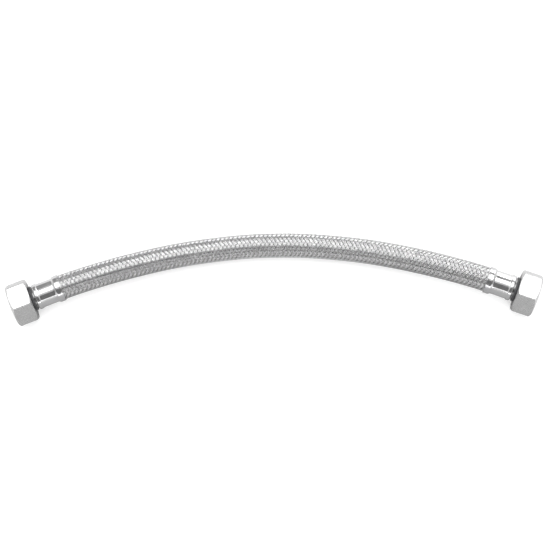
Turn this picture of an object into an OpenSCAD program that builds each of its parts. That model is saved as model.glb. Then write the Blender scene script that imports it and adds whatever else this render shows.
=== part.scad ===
// Braided supply line: a flexible water connector with a G 1/2 union nut on each end.
// X runs along the line, the crown of its bend points to +Y and +Z is up from the surface
// that it lies on. The origin is on that surface, under the middle of the whole line.
// Each end is drawn along +X, from the mouth of its ferrule outwards, and then put in place.

/* [Hose] */
// Outer diameter of the braid
braid_d = 15; // [14:0.5:15.5]
// Thickness of the braid
braid_wall = 0.6; // [0.4:0.1:0.6]
// Bore of the inner tube
tube_bore = 10.4; // [10.4:0.1:10.8]
// How much the crimp takes off the radius of the hose
crimp_squeeze = 0.7; // [0.6:0.1:0.8]

/* [Ferrule] */
// Length from the mouth to the closed end
ferrule_len = 16.3; // [16:0.1:18]
// Thickness of the sleeve
ferrule_wall = 0.5; // [0.4:0.05:0.6]
// Length of the uncrimped mouth
flare_len = 3.4; // [3:0.2:4.6]
// Length of the bead at the closed end
bead_len = 2.6; // [2:0.2:3]

/* [Stem] */
// Water way through the stem
stem_bore = 7.5; // [6:0.5:8]
// Diameter of the neck that the nut turns on
neck_d = 13; // [12.4:0.1:13]
// Diameter of the collar that the nut pulls on
collar_d = 18; // [17.4:0.1:18.4]
// Thickness of the collar
collar_len = 2; // [1.6:0.2:2.4]

/* [Sealing washer] */
// Outer diameter of the washer
washer_d = 18.2; // [17.6:0.1:18.4]
// Hole in the washer
washer_bore = 10.6; // [9:0.2:12]
// Thickness of the washer
washer_len = 2; // [1.5:0.1:2.2]

/* [Slip ring] */
// Outer diameter of the ring
ring_d = 14.8; // [14.4:0.1:15.4]
// Thickness of the ring
ring_len = 1.55; // [1.2:0.05:1.6]
// How far the ring and the nut can slide back towards the ferrule
slide_play = 0.7; // [0.5:0.1:1]

/* [Union nut] */
// Width across the flats
nut_af = 24; // [23.5:0.5:25]
// Length of the nut
nut_len = 12.5; // [12:0.5:15]
// Minor diameter of the G 1/2 thread
thread_minor_d = 18.6; // [18.5:0.1:18.9]
// Major diameter of the G 1/2 thread
thread_major_d = 21; // [20.9:0.1:21.2]
// Thickness of the inward lip at the back of the nut
lip_len = 1.9; // [1.5:0.1:2]

/* [Hidden] */
$fn = 96;

// Centre line of the hose, from its crown to the mouth of the ferrule on the right
HALF_ROUTE = [
    [0, 21.2, 7.6], [16, 20.8, 7.6], [32, 19.4, 7.8], [48, 17.2, 8.4], [64, 14.2, 9.2],
    [80, 10.3, 10.2], [96, 5.8, 11.1], [112, 0.7, 11.8], [127.6, -4.8, 12]
];
END_ANGLE = 21.6; // the fittings point outwards and this much towards -Y
TUBE_SIDES = 12;

MOUTH = HALF_ROUTE[len(HALF_ROUTE) - 1];
braid_r = braid_d / 2;
hose_gap = 0.05;        // between the braid and the inner tube
braid_crimped_r = braid_r - crimp_squeeze;
tube_r = braid_r - braid_wall - hose_gap;
tube_crimped_r = braid_crimped_r - braid_wall - hose_gap;

mouth_clearance = 0.1;
crimp_clearance = 0.05;
ferrule_mouth_r = braid_r + mouth_clearance;
ferrule_crimp_r = braid_crimped_r + crimp_clearance;
bead_rise = 0.45;       // height of the bead over the crimped body
ferrule_bead_r = ferrule_crimp_r + ferrule_wall + bead_rise;
ferrule_step = 0.8;     // length of the cone between mouth and crimp
end_wall = 0.8;         // closed end of the ferrule, which grips the stem
groove_r = 5.2;         // groove in the stem that the closed end sits in

shank_r = 4.5;
barb_r = 4.95;
barb_pitch = 2.8;
barb_count = 5;
shank_start = 1;
hose_end = shank_start + barb_count * barb_pitch; // the hose stops where the barbs do
groove_start = hose_end + 0.2;

ring_gap = 0.05;        // between the slip ring and the nut
lip_gap = 0.3;          // between the nut's lip and the collar it pulls on
relief_gap = 0.3;       // between the washer and the first turn of the thread
ring_back = ferrule_len + slide_play;
nut_back = ring_back + ring_len + ring_gap;
collar_back = nut_back + lip_len + lip_gap;
washer_back = collar_back + collar_len;
thread_back = washer_back + washer_len + relief_gap;
nut_front = nut_back + nut_len;
running_fit = 0.06;     // between the slip ring and the neck
nut_clearance = 0.3;    // between the nut's lip and the neck
relief_r = thread_major_d / 2;
countersink_share = 0.75;
countersink = (thread_major_d - thread_minor_d) / 2 * countersink_share;
nut_corner_r = nut_af / 2 / cos(30);
front_chamfer_r = nut_af / 2 - 0.4;
back_chamfer_r = nut_af / 2 - 0.1;
chamfer_slope = 30;

function unit(v) = v / norm(v);
function mirrored(points) = [for (i = [len(points) - 1:-1:0]) [-points[i].x, points[i].y, points[i].z]];

squeeze_lead = 0.8;     // the hose starts to narrow this far before the sleeve does
squeeze_lag = 0.1;      // and is at its narrowest this far before the crimped body
// A ring is [distance into the ferrule, share of the crimp's squeeze]
CRIMP_RINGS = [[flare_len - squeeze_lead, 0], [flare_len + ferrule_step - squeeze_lag, 1], [hose_end, 1]];
END_AXIS = [cos(END_ANGLE), -sin(END_ANGLE), 0];
RIGHT_END = [for (ring = CRIMP_RINGS) MOUTH + ring[0] * END_AXIS];
RIGHT_SIDE = concat([for (i = [1:len(HALF_ROUTE) - 1]) HALF_ROUTE[i]], RIGHT_END);
CENTRES = concat(mirrored(RIGHT_SIDE), [HALF_ROUTE[0]], RIGHT_SIDE);
SQUEEZE = [
    for (i = [0:len(CENTRES) - 1])
        let (from_end = min(i, len(CENTRES) - 1 - i), last = len(CRIMP_RINGS) - 1)
        from_end > last ? 0 : CRIMP_RINGS[last - from_end][1]
];

// Direction of the centre line at ring i: each end is straight, from its ferrule's mouth
function heading(i) =
    let (last = len(CENTRES) - 1, straight = len(CRIMP_RINGS))
    i <= straight ? unit([END_AXIS.x, -END_AXIS.y, 0])
    : i >= last - straight ? END_AXIS
    : unit(CENTRES[i + 1] - CENTRES[i - 1]);

// Points of one ring of radius r around ring centre i
function ring_points(i, r) =
    let (side = unit(cross(heading(i), [0, 0, 1])), up = cross(side, heading(i)))
    [
        for (k = [0:TUBE_SIDES - 1])
            CENTRES[i] + r * (cos(k * 360 / TUBE_SIDES) * side + sin(k * 360 / TUBE_SIDES) * up)
    ];

// A hollow tube along the centre line: radii are [free, crimped] outside and inside
module hose_layer(outer, inner) {
    rings = len(CENTRES);
    walls = [outer, inner];
    points = [
        for (wall = walls) for (i = [0:rings - 1])
            each ring_points(i, wall[0] + SQUEEZE[i] * (wall[1] - wall[0]))
    ];
    inside = rings * TUBE_SIDES;
    function at(i, k) = i * TUBE_SIDES + k % TUBE_SIDES;
    sides = [0:TUBE_SIDES - 1];
    faces = concat(
        [for (i = [0:rings - 2]) for (k = sides) [at(i, k), at(i + 1, k), at(i + 1, k + 1), at(i, k + 1)]],
        [
            for (i = [0:rings - 2]) for (k = sides)
                [for (p = [at(i, k), at(i, k + 1), at(i + 1, k + 1), at(i + 1, k)]) inside + p]
        ],
        [for (k = sides) [at(0, k), at(0, k + 1), inside + at(0, k + 1), inside + at(0, k)]],
        [
            for (k = sides) let (i = rings - 1)
                [at(i, k), inside + at(i, k), inside + at(i, k + 1), at(i, k + 1)]
        ]
    );
    polyhedron(points = points, faces = faces, convexity = 6);
}

// Turns a body drawn along +Z into a fitting on the right, or on the left with side = -1
module on_end(side) {
    mirror([side < 0 ? 1 : 0, 0, 0])
        translate(MOUTH)
            rotate([0, 0, -END_ANGLE])
                rotate([0, 90, 0])
                    children();
}

module wire_braid() {
    color("silver")
        hose_layer([braid_r, braid_crimped_r], [braid_r - braid_wall, braid_crimped_r - braid_wall]);
}

module inner_tube() {
    color("dimgray")
        hose_layer([tube_r, tube_crimped_r], [tube_bore / 2, tube_bore / 2]);
}

// Crimped sleeve: open flared mouth, crimped body, bead, and an end wall that grips the stem
module ferrule() {
    crimp_start = flare_len + ferrule_step;
    bead_start = ferrule_len - bead_len;
    bead_step = 0.5;
    color("lightgray")
        rotate_extrude()
            polygon([
                [ferrule_mouth_r, 0],
                [ferrule_mouth_r + ferrule_wall, 0],
                [ferrule_mouth_r + ferrule_wall, flare_len],
                [ferrule_crimp_r + ferrule_wall, crimp_start],
                [ferrule_crimp_r + ferrule_wall, bead_start],
                [ferrule_bead_r, bead_start + bead_step],
                [ferrule_bead_r, ferrule_len - bead_step],
                [ferrule_bead_r - bead_step, ferrule_len],
                [groove_r, ferrule_len],
                [groove_r, ferrule_len - end_wall],
                [ferrule_crimp_r, ferrule_len - end_wall],
                [ferrule_crimp_r, crimp_start],
                [ferrule_mouth_r, flare_len]
            ]);
}

// Plated brass stem: barbed shank in the tube, groove for the ferrule, neck and collar
module stem() {
    nose = 0.6;
    color("lightgray")
        rotate_extrude()
            polygon(concat(
                [[stem_bore / 2, shank_start], [shank_r, shank_start]],
                [
                    for (i = [0:barb_count - 1])
                        each [
                            [shank_r, shank_start + i * barb_pitch + nose],
                            [barb_r, shank_start + (i + 1) * barb_pitch - nose / 2],
                            [shank_r, shank_start + (i + 1) * barb_pitch]
                        ]
                ],
                [
                    [groove_r, groove_start],
                    [groove_r, ferrule_len],
                    [neck_d / 2, ferrule_len],
                    [neck_d / 2, collar_back],
                    [collar_d / 2, collar_back],
                    [collar_d / 2, washer_back],
                    [stem_bore / 2, washer_back]
                ]
            ));
}

module sealing_washer() {
    color("#2b2b2d")
        translate([0, 0, washer_back])
            difference() {
                cylinder(h = washer_len, d = washer_d);
                translate([0, 0, -1])
                    cylinder(h = washer_len + 2, d = washer_bore);
            }
}

module slip_ring() {
    color("#1c1c1e")
        translate([0, 0, ring_back])
            difference() {
                cylinder(h = ring_len, d = ring_d);
                translate([0, 0, -1])
                    cylinder(h = ring_len + 2, d = neck_d + 2 * running_fit);
            }
}

// Profile that is turned and then crossed with a hexagon: chamfers outside, bores inside
module nut_profile() {
    over = nut_corner_r + 1;
    front_cone = (over - front_chamfer_r) * tan(chamfer_slope);
    back_cone = (over - back_chamfer_r) * tan(chamfer_slope);
    polygon([
        [neck_d / 2 + nut_clearance, nut_back],
        [back_chamfer_r, nut_back],
        [over, nut_back + back_cone],
        [over, nut_front - front_cone],
        [front_chamfer_r, nut_front],
        [thread_minor_d / 2 + countersink, nut_front],
        [thread_minor_d / 2, nut_front - countersink],
        [thread_minor_d / 2, thread_back],
        [relief_r, thread_back],
        [relief_r, nut_back + lip_len],
        [neck_d / 2 + nut_clearance, nut_back + lip_len]
    ]);
}

module nut() {
    color("gainsboro")
        intersection() {
            translate([0, 0, nut_back])
                rotate([0, 0, 30])
                    cylinder(h = nut_len, r = nut_corner_r, $fn = 6);
            rotate_extrude()
                nut_profile();
        }
}

module left_nut() { on_end(-1) nut(); }
module left_slip_ring() { on_end(-1) slip_ring(); }
module left_sealing_washer() { on_end(-1) sealing_washer(); }
module left_stem() { on_end(-1) stem(); }
module left_ferrule() { on_end(-1) ferrule(); }
module right_ferrule() { on_end(1) ferrule(); }
module right_stem() { on_end(1) stem(); }
module right_sealing_washer() { on_end(1) sealing_washer(); }
module right_slip_ring() { on_end(1) slip_ring(); }
module right_nut() { on_end(1) nut(); }

left_nut();
left_slip_ring();
left_sealing_washer();
left_stem();
left_ferrule();
inner_tube();
wire_braid();
right_ferrule();
right_stem();
right_sealing_washer();
right_slip_ring();
right_nut();
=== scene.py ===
"""Braided supply line: woven steel wires, crimped ferrules and threaded union nuts."""
import bpy
import math
import numpy as np
from mathutils import Matrix, Vector


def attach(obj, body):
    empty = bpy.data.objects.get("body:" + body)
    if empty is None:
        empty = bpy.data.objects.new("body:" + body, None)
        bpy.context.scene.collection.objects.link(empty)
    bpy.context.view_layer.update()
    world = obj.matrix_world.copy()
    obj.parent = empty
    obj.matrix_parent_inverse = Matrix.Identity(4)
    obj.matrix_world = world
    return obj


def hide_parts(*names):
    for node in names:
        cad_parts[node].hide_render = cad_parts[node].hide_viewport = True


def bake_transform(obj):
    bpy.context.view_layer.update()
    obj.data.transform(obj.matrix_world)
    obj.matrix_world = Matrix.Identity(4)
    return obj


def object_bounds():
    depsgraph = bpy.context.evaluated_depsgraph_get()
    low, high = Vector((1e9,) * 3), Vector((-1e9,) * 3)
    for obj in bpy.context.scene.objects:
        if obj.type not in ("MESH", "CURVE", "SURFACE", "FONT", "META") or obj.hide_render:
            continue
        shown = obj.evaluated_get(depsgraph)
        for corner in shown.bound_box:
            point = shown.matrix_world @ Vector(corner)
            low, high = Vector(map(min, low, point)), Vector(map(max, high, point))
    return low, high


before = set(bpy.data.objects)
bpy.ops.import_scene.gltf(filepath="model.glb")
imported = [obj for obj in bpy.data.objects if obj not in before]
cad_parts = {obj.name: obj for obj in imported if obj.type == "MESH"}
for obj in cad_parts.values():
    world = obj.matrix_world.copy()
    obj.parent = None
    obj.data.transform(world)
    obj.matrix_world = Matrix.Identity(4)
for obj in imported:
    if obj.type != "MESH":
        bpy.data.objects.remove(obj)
cad_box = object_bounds()
MM = 0.001

# ---- Sizes repeated from the design, in metres -------------------------------------------------

# Half of the hose's route, from its middle to the right ferrule's mouth.
HALF_ROUTE = [
    (0, 0.0212, 0.0076), (0.016, 0.0208, 0.0076), (0.032, 0.0194, 0.0078),
    (0.048, 0.0172, 0.0084), (0.064, 0.0142, 0.0092), (0.080, 0.0103, 0.0102),
    (0.096, 0.0058, 0.0111), (0.112, 0.0007, 0.0118), (0.1276, -0.0048, 0.012),
]
MOUTH = Vector(HALF_ROUTE[-1])
END_ANGLE = math.radians(21.6)    # how far each fitting turns towards -Y

BRAID_R = 7.5 * MM
CRIMP_SQUEEZE = 0.7 * MM
HOSE_END = 15 * MM            # how far the hose runs into each ferrule
FERRULE_LEN = 16.3 * MM
FERRULE_WALL = 0.5 * MM
FLARE_LEN = 3.4 * MM
CRIMP_START = 4.2 * MM
BEAD_LEN = 2.6 * MM
END_WALL = 0.8 * MM
GROOVE_R = 5.2 * MM
STEM_BORE_R = 3.75 * MM
TUBE_BORE_R = 5.2 * MM
SHANK_R = 4.5 * MM
BARB_R = 4.95 * MM
NECK_R = 6.5 * MM
COLLAR_R = 9 * MM
RING_BACK = 17 * MM
RING_LEN = 1.55 * MM
RING_R = 7.4 * MM
NUT_BACK = 18.6 * MM
NUT_LEN = 12.5 * MM
NUT_FRONT = NUT_BACK + NUT_LEN
NUT_AF = 24 * MM
LIP_LEN = 1.9 * MM
COLLAR_BACK = 20.8 * MM
WASHER_BACK = 22.8 * MM
WASHER_LEN = 2 * MM
WASHER_R = 9.1 * MM
WASHER_BORE_R = 5.3 * MM
THREAD_BACK = 25.1 * MM
THREAD_MINOR_R = 9.3 * MM
THREAD_MAJOR_R = 10.5 * MM
THREAD_PITCH = 25.4 / 14 * MM
RIPPLE_PITCH = 1.3 * MM
NUT_CLEARANCE = 0.3 * MM
RUNNING_FIT = 0.06 * MM


# ---- Camera ------------------------------------------------------------------------------------

def add_camera():
    """Looks down at the line from the front, 70.5 degrees up, with the right end a touch higher."""
    elevation = math.radians(70.5)
    distance = 0.682
    low, high = (Vector(corner) for corner in cad_box)
    aside = Vector((0.0035, -0.0027, 0))    # from the object's centre to the view's
    target = (low + high) / 2 + aside
    away = Vector((0, -math.cos(elevation), math.sin(elevation)))
    data = bpy.data.cameras.new("camera")
    data.lens = 73
    data.sensor_width = 36
    camera = bpy.data.objects.new("camera", data)
    bpy.context.collection.objects.link(camera)
    roll = Matrix.Rotation(math.radians(-1.08), 4, "Z")
    look = away.to_track_quat("Z", "Y").to_matrix().to_4x4()
    camera.matrix_world = Matrix.Translation(target + away * distance) @ look @ roll
    bpy.context.scene.camera = camera


add_camera()


# ---- Centre line of the hose -------------------------------------------------------------------

LINE_STEP = 0.5 * MM
END_STEPS = 80                # in the straight run through each ferrule
PAST_HOSE = 2 * MM            # how far the line goes on past the hose's ends
PRESS_START = FLARE_LEN - 0.9 * MM    # where the crimp starts to press, from the mouth
PRESS_LEN = 1.6 * MM


def spline(points, start_slope, end_slope, step):
    """Clamped cubic spline through points, sampled about every step."""
    points = np.array(points, float)
    t = np.concatenate([[0], np.cumsum(np.linalg.norm(np.diff(points, axis=0), axis=1))])
    h = np.diff(t)[:, None]
    chord = np.diff(points, axis=0) / h
    n = len(points)
    system = np.zeros((n, n))
    right = np.zeros((n, 3))
    system[0, 0] = system[-1, -1] = 1
    right[0], right[-1] = start_slope, end_slope
    for i in range(1, n - 1):
        before, after = h[i - 1, 0], h[i, 0]
        system[i, i - 1:i + 2] = after, 2 * (before + after), before
        right[i] = 3 * (after * chord[i - 1] + before * chord[i])
    slope = np.linalg.solve(system, right)
    found = []
    for i in range(n - 1):
        count = max(2, round(h[i, 0] / step))
        for u in np.arange(count) / count:
            found.append(
                (2 * u ** 3 - 3 * u ** 2 + 1) * points[i]
                + (u ** 3 - 2 * u ** 2 + u) * h[i] * slope[i]
                + (3 * u ** 2 - 2 * u ** 3) * points[i + 1]
                + (u ** 3 - u ** 2) * h[i] * slope[i + 1]
            )
    return np.array(found + [points[-1]])


def end_axis(side):
    """Outward direction of the fitting on side -1 (left) or 1 (right)."""
    return Vector((side * math.cos(END_ANGLE), -math.sin(END_ANGLE), 0))


class CentreLine:
    """Points and frames of the hose by arc length s, from -half to half with 0 at the crown."""

    def __init__(self):
        left = [(-x, y, z) for x, y, z in reversed(HALF_ROUTE[1:])]
        inward, outward = -np.array(end_axis(-1)), np.array(end_axis(1))
        curve = spline(left + HALF_ROUTE, inward, outward, LINE_STEP)
        end_run = HOSE_END + PAST_HOSE
        ends = np.arange(1, END_STEPS + 1)[:, None] / END_STEPS * end_run
        before = curve[0] - ends[::-1] * inward
        after = curve[-1] + ends * outward
        self.points = np.concatenate([before, curve, after])
        steps = np.linalg.norm(np.diff(self.points, axis=0), axis=1)
        length = np.concatenate([[0], np.cumsum(steps)])
        self.s = length - length[-1] / 2
        self.mouth_s = length[-1] / 2 - end_run
        along = np.gradient(self.points, self.s, axis=0)
        self.along = along / np.linalg.norm(along, axis=1)[:, None]

    def at(self, s):
        """Point, sideways and upward direction at each s."""
        s = np.asarray(s, float)
        point, along = (
            np.stack([np.interp(s, self.s, values[:, k]) for k in range(3)], -1)
            for values in (self.points, self.along)
        )
        along /= np.linalg.norm(along, axis=-1, keepdims=True)
        side = np.cross(along, [0, 0, 1])
        side /= np.linalg.norm(side, axis=-1, keepdims=True)
        return point, side, np.cross(side, along)

    def around(self, s, angle, radius):
        """Points on the hose at arc length s, turned by angle about the centre line."""
        point, side, up = self.at(s)
        out = np.cos(angle)[..., None] * side + np.sin(angle)[..., None] * up
        return point + radius[..., None] * out

    def squeeze(self, s):
        """How much the crimp has taken off the radius at s."""
        into = np.abs(s) - self.mouth_s
        t = np.clip((into - PRESS_START) / PRESS_LEN, 0, 1)
        return CRIMP_SQUEEZE * t * t * (3 - 2 * t)


LINE = CentreLine()
HALF_HOSE = LINE.mouth_s + HOSE_END


# ---- Mesh helpers ------------------------------------------------------------------------------

def new_mesh(name, points, quads, material, smooth=None):
    """A mesh object of quads, all shaded smooth unless smooth says which are."""
    if smooth is None:
        smooth = np.ones(len(quads), bool)
    mesh = bpy.data.meshes.new(name)
    points = np.asarray(points, np.float32).reshape(-1, 3)
    quads = np.asarray(quads, np.int32).reshape(-1, 4)
    mesh.vertices.add(len(points))
    mesh.vertices.foreach_set("co", points.ravel())
    mesh.loops.add(quads.size)
    mesh.loops.foreach_set("vertex_index", quads.ravel())
    mesh.polygons.add(len(quads))
    mesh.polygons.foreach_set("loop_start", np.arange(0, quads.size, 4))
    mesh.polygons.foreach_set("use_smooth", smooth)
    mesh.update(calc_edges=True)
    mesh.validate()
    mesh.materials.append(material)
    obj = bpy.data.objects.new(name, mesh)
    bpy.context.collection.objects.link(obj)
    return obj


def grid_quads(rows, columns, close_rows=False):
    """Quads of a grid whose columns run round and close; its rows close too on request."""
    r = np.arange(rows if close_rows else rows - 1)[:, None]
    c = np.arange(columns)[None, :]
    after_r, after_c = (r + 1) % rows, (c + 1) % columns
    corners = [
        r * columns + c, r * columns + after_c,
        after_r * columns + after_c, after_r * columns + c,
    ]
    return np.stack(np.broadcast_arrays(*corners), -1).reshape(-1, 4)


def fitting_matrix(side):
    """From a fitting drawn along +Z, with z = 0 at the ferrule's mouth, to its place on a side."""
    outward = end_axis(side)
    up = Vector((0, 0, 1))
    across = up.cross(outward)
    turn = Matrix((across, up, outward)).transposed().to_4x4()
    place = Vector((side * MOUTH.x, MOUTH.y, MOUTH.z))
    return Matrix.Translation(place) @ turn


def turned(name, side, section, angles, material):
    """A ring-shaped piece; section(angles) gives its outline as rows of radius and length."""
    radius, along = section(angles)
    points = np.stack([radius * np.cos(angles), radius * np.sin(angles), along], -1)
    quads = grid_quads(len(radius), len(angles), close_rows=True)
    obj = new_mesh(name, points, quads, material)
    obj.data.transform(fitting_matrix(side))
    return obj


def rounded(outline, steps=4, share=0.45):
    """Outline of (radius, length, reach) rows with its corners turned into curves.

    A curve starts at reach from its corner, or at share of the side where that is less.
    """
    found = []
    for i, (r, z, reach) in enumerate(outline):
        here = Vector((r, z))
        before = Vector(outline[i - 1][:2]) - here
        after = Vector(outline[(i + 1) % len(outline)][:2]) - here
        reach = min(reach, before.length * share, after.length * share)
        if reach <= 0:
            found.append(here)
            continue
        first = here + before.normalized() * reach
        last = here + after.normalized() * reach
        for k in range(steps + 1):
            t = k / steps
            found.append((1 - t) ** 2 * first + 2 * t * (1 - t) * here + t * t * last)
    return np.array(found)


def lathe(name, side, outline, material, columns=96, shape=None):
    """A turned piece from a rounded outline; shape(radius, length, angle) may move its radius."""
    profile = rounded(outline)

    def section(angles):
        radius = np.repeat(profile[:, :1], len(angles), 1)
        along = np.repeat(profile[:, 1:], len(angles), 1)
        return (shape(radius, along, angles) if shape else radius), along

    return turned(name, side, section, np.arange(columns) / columns * 2 * np.pi, material)


# ---- Materials ---------------------------------------------------------------------------------

class Nodes:
    """Short forms for the shader nodes that the materials share."""

    def __init__(self, name):
        self.material = bpy.data.materials.new(name)
        self.material.use_nodes = True
        self.tree = self.material.node_tree
        self.shader = self.tree.nodes["Principled BSDF"]
        self.place = self.tree.nodes.new("ShaderNodeTexCoord").outputs["Object"]

    def link(self, source, target):
        self.tree.links.new(source, target)

    def noise(self, scale, detail=3, stretch=(1, 1, 1), rough=0.5):
        """Noise in the piece's own coordinates."""
        mapping = self.tree.nodes.new("ShaderNodeMapping")
        mapping.inputs["Scale"].default_value = stretch
        self.link(self.place, mapping.inputs["Vector"])
        noise = self.tree.nodes.new("ShaderNodeTexNoise")
        noise.inputs["Scale"].default_value = scale
        noise.inputs["Detail"].default_value = detail
        noise.inputs["Roughness"].default_value = rough
        self.link(mapping.outputs["Vector"], noise.inputs["Vector"])
        return noise.outputs["Fac"]

    def spread(self, source, low, high, start=0.3, end=0.7):
        """Takes source from the range start to end to the range low to high."""
        node = self.tree.nodes.new("ShaderNodeMapRange")
        node.inputs["From Min"].default_value = start
        node.inputs["From Max"].default_value = end
        node.inputs["To Min"].default_value = low
        node.inputs["To Max"].default_value = high
        self.link(source, node.inputs["Value"])
        return node.outputs["Result"]

    def ramp(self, source, *stops):
        """Colour of source between stops of (position, colour)."""
        node = self.tree.nodes.new("ShaderNodeValToRGB")
        elements = node.color_ramp.elements
        while len(elements) < len(stops):
            elements.new(0.5)
        for element, (position, colour) in zip(elements, stops):
            element.position = position
            element.color = (*colour, 1)
        self.link(source, node.inputs["Fac"])
        return node.outputs["Color"]

    def bump(self, height, strength, distance, normal=None):
        node = self.tree.nodes.new("ShaderNodeBump")
        node.inputs["Strength"].default_value = strength
        node.inputs["Distance"].default_value = distance
        self.link(height, node.inputs["Height"])
        if normal is not None:
            self.link(normal, node.inputs["Normal"])
        return node.outputs["Normal"]

    def finish(self, colour, roughness=None, normal=None, **constants):
        """Links the sources that are given and sets constants by their sockets' names."""
        for socket, value in constants.items():
            self.shader.inputs[socket.replace("_", " ")].default_value = value
        sources = {"Base Color": colour, "Roughness": roughness, "Normal": normal}
        for socket, source in sources.items():
            if source is not None:
                self.link(source, self.shader.inputs[socket])
        return self.material


def wire_steel():
    """Bright drawn stainless wire, a little darker and duller in places."""
    n = Nodes("wire_steel")
    patches = n.noise(260, 4)
    colour = n.ramp(patches, (0.3, (0.70, 0.70, 0.705)), (0.7, (0.80, 0.80, 0.80)))
    roughness = n.spread(n.noise(900, 2), 0.15, 0.25)
    return n.finish(colour, roughness, n.bump(n.noise(4000, 2), 0.05, 0.00002), Metallic=1.0)


def polished_steel():
    """Crimped stainless sleeve: bright, with light drawing lines and handling marks."""
    n = Nodes("polished_steel")
    colour = n.ramp(n.noise(120, 3), (0.35, (0.72, 0.72, 0.73)), (0.65, (0.82, 0.82, 0.82)))
    roughness = n.spread(n.noise(420, 5, rough=0.6), 0.09, 0.2)
    return n.finish(colour, roughness, n.bump(n.noise(1500, 3), 0.08, 0.00003), Metallic=1.0)


def nickel():
    """Nickel plate over milled brass: satin faces with fine tool marks."""
    n = Nodes("nickel")
    colour = n.ramp(n.noise(90, 4), (0.3, (0.62, 0.62, 0.62)), (0.7, (0.67, 0.67, 0.67)))
    roughness = n.spread(n.noise(500, 5, rough=0.65), 0.23, 0.31)
    marks = n.bump(n.noise(900, 3, stretch=(0.25, 0.25, 3)), 0.06, 0.00001)
    return n.finish(colour, roughness, n.bump(n.noise(3500, 2), 0.05, 0.00001, marks), Metallic=1.0)


def shaded_plated_brass():
    """Nickel-plated stem; its colour is painted darker than the nut's as shade for the gap between
    the ferrule's bead and the nylon ring.
    """
    n = Nodes("shaded_plated_brass")
    # painted shade: these dark greys stand in for the shade that falls on the neck between the bead
    # and the nylon ring
    colour = n.ramp(n.noise(150, 3), (0.3, (0.28, 0.28, 0.28)), (0.7, (0.36, 0.36, 0.36)))
    roughness = n.spread(n.noise(600, 4), 0.2, 0.36)
    return n.finish(colour, roughness, n.bump(n.noise(2500, 2), 0.12, 0.00002), Metallic=1.0)


def black_nylon():
    """Moulded black nylon with a fine grain."""
    n = Nodes("black_nylon")
    colour = n.ramp(n.noise(300, 3), (0.3, (0.045, 0.045, 0.048)), (0.7, (0.075, 0.075, 0.08)))
    roughness = n.spread(n.noise(900, 3), 0.38, 0.55)
    return n.finish(colour, roughness, n.bump(n.noise(5000, 2), 0.2, 0.00002))


def black_rubber():
    """EPDM rubber: dull, with a faint bloom."""
    n = Nodes("black_rubber")
    colour = n.ramp(n.noise(200, 4), (0.3, (0.018, 0.018, 0.019)), (0.75, (0.045, 0.045, 0.047)))
    roughness = n.spread(n.noise(1200, 3), 0.62, 0.82)
    return n.finish(colour, roughness, n.bump(n.noise(6000, 3), 0.3, 0.00003))


# ---- Hose --------------------------------------------------------------------------------------

CARRIERS = 12                 # in each direction
WIRES = 5                     # side by side in each carrier
WIRE_R = 0.17 * MM
WIRE_PITCH = 0.33 * MM
WAVE = 0.2 * MM               # how far a carrier moves in and out as it crosses the others
CROWN = 0.06 * MM             # how much lower a carrier's outer wires lie than its middle ones
BRAID_LEAD = 31.2 * MM        # length of one full turn of a carrier
STEPS_PER_TURN = 42
STEEPNESS = 2.4               # of a carrier's step from under to over
STRAY = 0.018 * MM            # how far a wire wanders from its place in the carrier
STRAY_POINTS = 60             # along the hose
WEAVE_SEED = 7
WIRE_SECTION = [(0.8, 0.55), (0.8, -0.55), (0, -1.1), (0, 1.1)]    # outward and across, in radii
UNDERSIDE = 2                 # the face of the section that lies inward
TUBE_CLEARANCE = 0.03 * MM    # between the rubber tube and the lowest wires


def braid(material):
    """Two sets of carriers wound opposite ways, each passing over two and under two."""
    chance = np.random.default_rng(WEAVE_SEED)
    middle_r = BRAID_R - WAVE - WIRE_R
    turn_rate = 2 * np.pi / BRAID_LEAD
    lean = math.atan(middle_r * turn_rate)      # angle between a carrier and the hose
    steps = math.ceil(2 * HALF_HOSE / BRAID_LEAD * STEPS_PER_TURN)
    s = np.linspace(-HALF_HOSE, HALF_HOSE, steps + 1)
    stray_s = np.linspace(-HALF_HOSE, HALF_HOSE, STRAY_POINTS)
    strip = grid_quads(len(s), len(WIRE_SECTION))
    points, quads, count = [], [], 0
    for way in (1, -1):
        for carrier in range(CARRIERS):
            for wire in range(WIRES):
                place = (wire - (WIRES - 1) / 2) * WIRE_PITCH
                stray = np.interp(s, stray_s, chance.normal(0, STRAY, STRAY_POINTS))
                angle = 2 * np.pi * carrier / CARRIERS + way * turn_rate * s
                angle = angle + (place + stray) / (middle_r * math.cos(lean))
                crossing = CARRIERS * (angle + way * turn_rate * s) / (2 * np.pi)
                over = np.cos(np.pi / 2 * (carrier + crossing - 0.5))
                height = way * np.tanh(STEEPNESS * over)
                drop = CROWN * (place / (WIRE_PITCH * WIRES / 2)) ** 2
                radius = middle_r - LINE.squeeze(s) + WAVE * height - drop
                points.append(wire_tube(s, angle, radius, way * lean))
                quads.append(strip + count)
                count += len(s) * len(WIRE_SECTION)
    quads = np.concatenate(quads)
    smooth = np.arange(len(quads)) % len(WIRE_SECTION) != UNDERSIDE
    return new_mesh("woven_braid", np.concatenate(points), quads, material, smooth)


def wire_tube(s, angle, radius, lean):
    """Points of one wire: its section set square to it at each s."""
    point, side, up = LINE.at(s)
    out = np.cos(angle)[:, None] * side + np.sin(angle)[:, None] * up
    sideways = -np.sin(angle)[:, None] * side + np.cos(angle)[:, None] * up
    across = math.cos(lean) * sideways - math.sin(lean) * np.cross(up, side)
    centre = point + radius[:, None] * out
    corners = [centre + WIRE_R * (high * out + wide * across) for high, wide in WIRE_SECTION]
    return np.stack(corners, 1).reshape(-1, 3)


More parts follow.
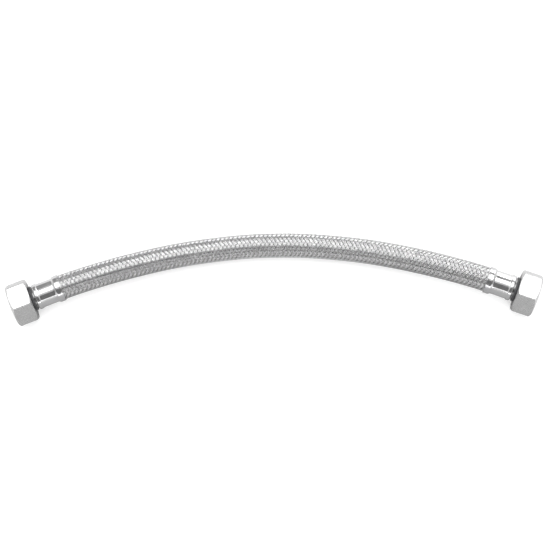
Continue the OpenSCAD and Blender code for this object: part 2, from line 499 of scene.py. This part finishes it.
def tube(material):
    """Rubber tube under the braid, with its bore."""
    sides, rings = 40, 150
    s = np.linspace(-HALF_HOSE, HALF_HOSE, rings)
    angle = np.arange(sides) / sides * 2 * np.pi
    outer = BRAID_R - 2 * WAVE - 2 * WIRE_R - TUBE_CLEARANCE - LINE.squeeze(s)
    bore = np.full(rings, TUBE_BORE_R)
    where = np.concatenate([s, s[::-1]])
    radius = np.concatenate([bore, outer[::-1]])
    grid_s, grid_angle = np.meshgrid(where, angle, indexing="ij")
    points = LINE.around(grid_s, grid_angle, np.repeat(radius[:, None], sides, 1))
    quads = grid_quads(2 * rings, sides, close_rows=True)
    return new_mesh("rubber_tube", points, quads, material)


# ---- Fittings ----------------------------------------------------------------------------------

CORNER_BREAK = 0.35 * MM      # rounding of the nut's six long edges
CORNER_STEPS = (-1.8, -1.1, -0.5, 0.5, 1.1, 1.8)    # degrees from each corner
EVEN_STEP = 2.5               # degrees


def soft_min(a, b, blend):
    """The lower of a and b, with the corner between them rounded over about blend."""
    h = np.maximum(blend - np.abs(a - b), 0) / blend
    return np.minimum(a, b) - h * h * blend / 4


def hexagon(angles):
    """Radius of the nut's outline, with flats facing +Y and -Y and its corners broken."""
    turn = (angles + np.pi / 2) % (np.pi / 3)
    here = NUT_AF / 2 / np.cos(np.minimum(turn, np.pi / 3 - turn))
    other = NUT_AF / 2 / np.cos(np.maximum(turn, np.pi / 3 - turn))
    return soft_min(here, other, CORNER_BREAK)


def nut_columns():
    """Angles round the nut: even ones for its bores and closer ones at the six corners."""
    even = np.arange(0, 360, EVEN_STEP)
    corners = np.array([60 * k + step for k in range(6) for step in CORNER_STEPS]) % 360
    return np.radians(np.unique(np.round(np.concatenate([even, corners]), 3)))


def thread_radius(angles, along):
    """Right-hand Whitworth-form thread with rounded crests and roots."""
    turns = along / THREAD_PITCH - angles / (2 * np.pi)
    wave = 0.5 + 0.5 * np.cos(2 * np.pi * turns)
    return THREAD_MINOR_R + (THREAD_MAJOR_R - THREAD_MINOR_R) * (3 * wave ** 2 - 2 * wave ** 3)


def nut_section(angles):
    """The nut's outline at each angle, from the back lip round the outside to the thread."""
    slope = math.tan(math.radians(30))
    front_flat = NUT_AF / 2 - 0.4 * MM    # outer radius of the front face, inside its chamfer
    back_flat = NUT_AF / 2 - 0.1 * MM
    edge = 0.12 * MM              # small bevels
    chamfer_blend = 0.3 * MM
    gap, closeness = 0.03 * MM, 0.02    # keep a chamfer's rows apart where it runs out
    mouth_r = THREAD_MAJOR_R - 0.05 * MM
    thread_rows, countersink = 44, 0.55    # the countersink's taper beside the chamfers'
    relief_r = THREAD_MAJOR_R + 0.01 * MM
    thread_end = 0.05 * MM
    lip_front = NUT_BACK + LIP_LEN
    bore_r = NECK_R + NUT_CLEARANCE
    hexed = hexagon(angles)
    rows = []

    def row(radius, along):
        rows.append((np.broadcast_to(radius, angles.shape), np.broadcast_to(along, angles.shape)))

    def outside(along):
        front_cone = front_flat + (NUT_FRONT - along) / slope
        back_cone = back_flat + (along - NUT_BACK) / slope
        row(soft_min(hexed, np.minimum(front_cone, back_cone), chamfer_blend), along)

    steps = np.array([-0.7, -0.35, -0.18, -0.07, 0.07, 0.18, 0.35, 0.7]) * MM
    back_edge = NUT_BACK + np.maximum(hexed - back_flat, 0) * slope
    front_edge = NUT_FRONT - np.maximum(hexed - front_flat, 0) * slope
    # back face and back chamfer
    row(bore_r + edge, NUT_BACK)
    row((bore_r + back_flat) / 2, NUT_BACK)
    row(np.minimum(back_flat, hexed) - edge, NUT_BACK)
    for step in steps:
        outside(np.maximum(back_edge + step, NUT_BACK + gap + (step - steps[0]) * closeness))
    # flats
    for share in (0.25, 0.5, 0.75):
        outside(back_edge + (front_edge - back_edge) * share)
    # front chamfer and front face
    for step in steps:
        outside(np.minimum(front_edge + step, NUT_FRONT - gap - (steps[-1] - step) * closeness))
    row(front_flat - edge, NUT_FRONT)
    row((front_flat + mouth_r) / 2, NUT_FRONT)
    row(mouth_r + edge, NUT_FRONT)
    # countersink and thread
    start = NUT_FRONT - edge
    for along in np.linspace(start, THREAD_BACK, thread_rows):
        cut = mouth_r - (start - along) / slope * countersink
        row(np.maximum(thread_radius(angles, along), cut), along)
    # relief behind the thread, inside of the lip and its bore
    row(relief_r, THREAD_BACK - thread_end)
    row(relief_r, lip_front + edge)
    row(THREAD_MAJOR_R - edge, lip_front)
    row(bore_r + edge, lip_front)
    row(bore_r, lip_front - edge)
    row(bore_r, NUT_BACK + edge)
    radius, along = zip(*rows)
    return np.array(radius), np.array(along)


def union_nut(name, side, material):
    return turned(name, side, nut_section, nut_columns(), material)


def crimp_marks(radius, along, angles):
    """Eight crimping jaws press the sleeve, and the braid under it shows as a faint ripple."""
    jaws = 8
    ridge_height, ridge_width = 0.06 * MM, 0.06    # the width is a share of one jaw's turn
    bulge = 0.02 * MM
    ripple_height, ripple_starts = 0.008 * MM, 3
    margin, fade_len = 0.1 * MM, 0.8 * MM
    inside_wall = 0.3 * MM        # over the braid; what lies deeper isn't marked
    low, high = CRIMP_START + margin, FERRULE_LEN - BEAD_LEN - margin
    fade = np.clip((along - low) / fade_len, 0, 1) * np.clip((high - along) / fade_len, 0, 1)
    turn = (angles * jaws / (2 * np.pi) + 0.5) % 1 - 0.5
    ridge = ridge_height * np.exp(-(turn / ridge_width) ** 2) + bulge * np.cos(2 * np.pi * turn)
    ripple = ripple_height * np.sin(2 * np.pi * along / RIPPLE_PITCH + ripple_starts * angles)
    outside = radius > BRAID_R - CRIMP_SQUEEZE + inside_wall
    return radius + outside * fade * (ridge + ripple)


def ferrule(name, side, material):
    """The crimped sleeve: rolled lip, flare, body with its crimp marks, bead and end wall."""
    mouth_r = BRAID_R + 0.1 * MM
    crimp_r = BRAID_R - CRIMP_SQUEEZE + 0.05 * MM
    body_r = crimp_r + FERRULE_WALL
    flare_r = mouth_r + FERRULE_WALL
    lip_r = flare_r + 0.12 * MM
    bead_r = body_r + 0.45 * MM
    bead_start = FERRULE_LEN - BEAD_LEN
    hole_r = GROOVE_R + 0.02 * MM
    wall_back = FERRULE_LEN - END_WALL
    rows = np.arange(CRIMP_START + 0.6 * MM, bead_start - 0.4 * MM, RIPPLE_PITCH / 6)
    outline = [
        (mouth_r, 0, 0.15 * MM),
        (lip_r, 0, 0.15 * MM),
        (lip_r, 0.5 * MM, 0.2 * MM),
        (flare_r, 0.8 * MM, 0.3 * MM),
        (flare_r, FLARE_LEN - 0.1 * MM, 0.5 * MM),
        (body_r, CRIMP_START, 0.25 * MM),
        *((body_r, along, 0) for along in rows),
        (body_r, bead_start - 0.1 * MM, 0.15 * MM),
        (bead_r, bead_start + 0.35 * MM, 0.5 * MM),
        (bead_r, FERRULE_LEN, 0.9 * MM),
        (hole_r, FERRULE_LEN, 0.1 * MM),
        (hole_r, wall_back, 0.1 * MM),
        (crimp_r, wall_back, 0.3 * MM),
        (crimp_r, CRIMP_START, 0.4 * MM),
        (mouth_r, FLARE_LEN, 0.4 * MM),
    ]
    return lathe(name, side, outline, material, columns=160, shape=crimp_marks)


def stem(name, side, material):
    """Barbed shank in the tube, groove for the ferrule, neck, and collar for the nut."""
    barbs, pitch, nose = 5, 2.8 * MM, 0.6 * MM
    start = 1 * MM                # from the ferrule's mouth
    outline = [(STEM_BORE_R, start, 0.3 * MM), (SHANK_R, start, 0.3 * MM)]
    for i in range(barbs):
        base = start + i * pitch
        outline += [
            (SHANK_R, base + nose, 0.05 * MM),
            (BARB_R, base + pitch - nose / 2, 0.08 * MM),
            (SHANK_R, base + pitch, 0.05 * MM),
        ]
    outline += [
        (GROOVE_R, start + barbs * pitch + 0.2 * MM, 0.05 * MM),
        (GROOVE_R, FERRULE_LEN, 0.05 * MM),
        (NECK_R, FERRULE_LEN, 0.15 * MM),
        (NECK_R, COLLAR_BACK, 0.15 * MM),
        (COLLAR_R, COLLAR_BACK, 0.25 * MM),
        (COLLAR_R, WASHER_BACK, 0.25 * MM),
        (STEM_BORE_R, WASHER_BACK, 0.35 * MM),
    ]
    return lathe(name, side, outline, material)


def ring(name, side, inner, outer, start, length, corner, material):
    """A flat ring with its four edges rounded."""
    outline = [
        (inner, start, corner), (outer, start, corner),
        (outer, start + length, corner), (inner, start + length, corner),
    ]
    return lathe(name, side, outline, material)


# ---- Assembly ----------------------------------------------------------------------------------

STEEL, FERRULE_STEEL, NICKEL = wire_steel(), polished_steel(), nickel()
SHADED_BRASS, NYLON, RUBBER = shaded_plated_brass(), black_nylon(), black_rubber()


def bend_with_hose(piece):
    """Bakes the piece's placement into its mesh; the hose's smooth bend from the left ferrule's
    mouth to the right one's is already in its points.
    """
    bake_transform(piece)


def build_hose():
    """The braid and the rubber tube inside it, each in place of its CAD node."""
    woven = braid(STEEL)
    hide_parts("wire_braid")
    bend_with_hose(woven)
    path = LINE.at(np.linspace(-HALF_HOSE, HALF_HOSE, 40))[0]
    rubber = tube(RUBBER)
    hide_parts("inner_tube")
    bend_with_hose(rubber)


def build_end(word, side):
    """The five pieces of one end, each in place of its CAD node and on that node's body."""
    nut = union_nut(f"{word}_union_nut", side, NICKEL)
    sleeve = ferrule(f"{word}_crimp_sleeve", side, FERRULE_STEEL)
    barbed_stem = stem(f"{word}_barbed_stem", side, SHADED_BRASS)
    nylon_ring = ring(
        f"{word}_nylon_ring", side, NECK_R + RUNNING_FIT, RING_R, RING_BACK, RING_LEN,
        0.3 * MM, NYLON,
    )
    washer = ring(
        f"{word}_rubber_washer", side, WASHER_BORE_R, WASHER_R, WASHER_BACK, WASHER_LEN,
        0.35 * MM, RUBBER,
    )
    for piece, node, body, material_slot in (
        (nut, "nut", "nut", "union_nut"),
        (sleeve, "ferrule", "end", "ferrule"),
        (barbed_stem, "stem", "end", "stem"),
        (nylon_ring, "slip_ring", "ring", "slip_ring"),
        (washer, "sealing_washer", "end", "rubber"),
    ):
        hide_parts(f"{word}_{node}")
        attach(piece, f"{word}_{body}")


build_hose()
build_end("left", -1)
build_end("right", 1)


# ---- Studio ------------------------------------------------------------------------------------

FLOOR_SIZE = (40, 40)
FLOOR_Z, FLOOR_CARD_Z, FRONT_CARD_Z = -0.0002, -0.00015, -0.0001    # one over the other
CARD_DISTANCE = 1.2
ORIGIN = (0, 0, 0)


def sheet_of(name, place, size, aim, material):
    """A flat sheet of the studio that faces aim."""
    w, h = size[0] / 2, size[1] / 2
    corners = [(-w, -h, 0), (w, -h, 0), (w, h, 0), (-w, h, 0)]
    obj = new_mesh(name, corners, [(0, 1, 2, 3)], material)
    away = Vector(aim) - Vector(place)
    turn = away.to_track_quat("Z", "Y").to_matrix().to_4x4()
    obj.matrix_world = Matrix.Translation(place) @ turn
    return obj


def pale_floor():
    """The floor, which glows a little so that it stays white under the line."""
    n = Nodes("pale_floor")
    colour = n.ramp(n.noise(12, 2), (0.3, (0.80, 0.80, 0.80)), (0.7, (0.83, 0.83, 0.83)))
    glow = {"Emission_Color": (1, 1, 1, 1), "Emission_Strength": 0.3}
    material = n.finish(colour, n.spread(n.noise(60, 2), 0.75, 0.85), **glow)
    sheet_of("floor", (0, 0, FLOOR_Z), FLOOR_SIZE, (0, 0, 1), material)


def direction(elevation, swing):
    """Unit vector raised from -Y over the top to +Y, then turned clockwise as seen from above."""
    up = math.radians(elevation)
    return Matrix.Rotation(-math.radians(swing), 3, "Z") @ Vector((0, -math.cos(up), math.sin(up)))


def card(name, place, size, aim, tone):
    """A grey card that only reflections see."""
    n = Nodes(name)
    shade = n.ramp(n.noise(3, 1), (0.4, (tone,) * 3), (0.6, (tone + 0.02,) * 3))
    sheet = sheet_of(name, place, size, aim, n.finish(shade, Roughness=0.9))
    sheet.visible_camera = sheet.visible_diffuse = sheet.visible_shadow = False


def soft_light(name, elevation, swing, size, brightness):
    """A rectangle of light of even brightness, facing the line."""
    data = bpy.data.lights.new(name, "AREA")
    data.shape = "RECTANGLE"
    data.size, data.size_y = size
    data.energy = brightness * math.pi * size[0] * size[1]
    light = bpy.data.objects.new(name, data)
    bpy.context.collection.objects.link(light)
    away = direction(elevation, swing)
    turn = away.to_track_quat("Z", "Y").to_matrix().to_4x4()
    light.matrix_world = Matrix.Translation(away) @ turn
    light.visible_camera = False
    return light


def studio():
    """World, lights and the cards that the metal reflects."""
    world = bpy.data.worlds.new("studio")
    world.use_nodes = True
    world.node_tree.nodes["Background"].inputs["Color"].default_value = (0.72, 0.72, 0.72, 1)
    bpy.context.scene.world = world
    bpy.context.scene.view_settings.view_transform = "Standard"
    # elevation and swing in degrees, size in metres, brightness
    soft_light("overhead", 92.5, 0, (1.0, 0.37), 2.1)
    soft_light("overhead_back", 111.5, 0, (1.0, 0.3), 1.6)
    soft_light("back_right", 160, 24, (0.75, 0.52), 2.4)
    soft_light("front_strip", 15, 0, (2.0, 0.16), 1.8)
    fill = soft_light("fill", 50, 0, (1.6, 1.2), 1.0)
    fill.visible_glossy = False
    # place, size and aim in metres, tone
    card("front_card", direction(45, 0) * CARD_DISTANCE, (2.6, 1.0), ORIGIN, 0.12)
    card("back_left_card", direction(155, -25) * CARD_DISTANCE, (0.95, 0.87), ORIGIN, 0.25)
    card("back_strip_card", direction(133, 12) * CARD_DISTANCE, (0.9, 0.5), ORIGIN, 0.22)
    card("floor_card", (0, 0, FLOOR_CARD_Z), FLOOR_SIZE, (0, 0, 1), 0.71)
    card("front_floor_card", (0, -0.746, FRONT_CARD_Z), (0.33, 1.5), (0, -0.746, 1), 0.36)


pale_floor()
studio()
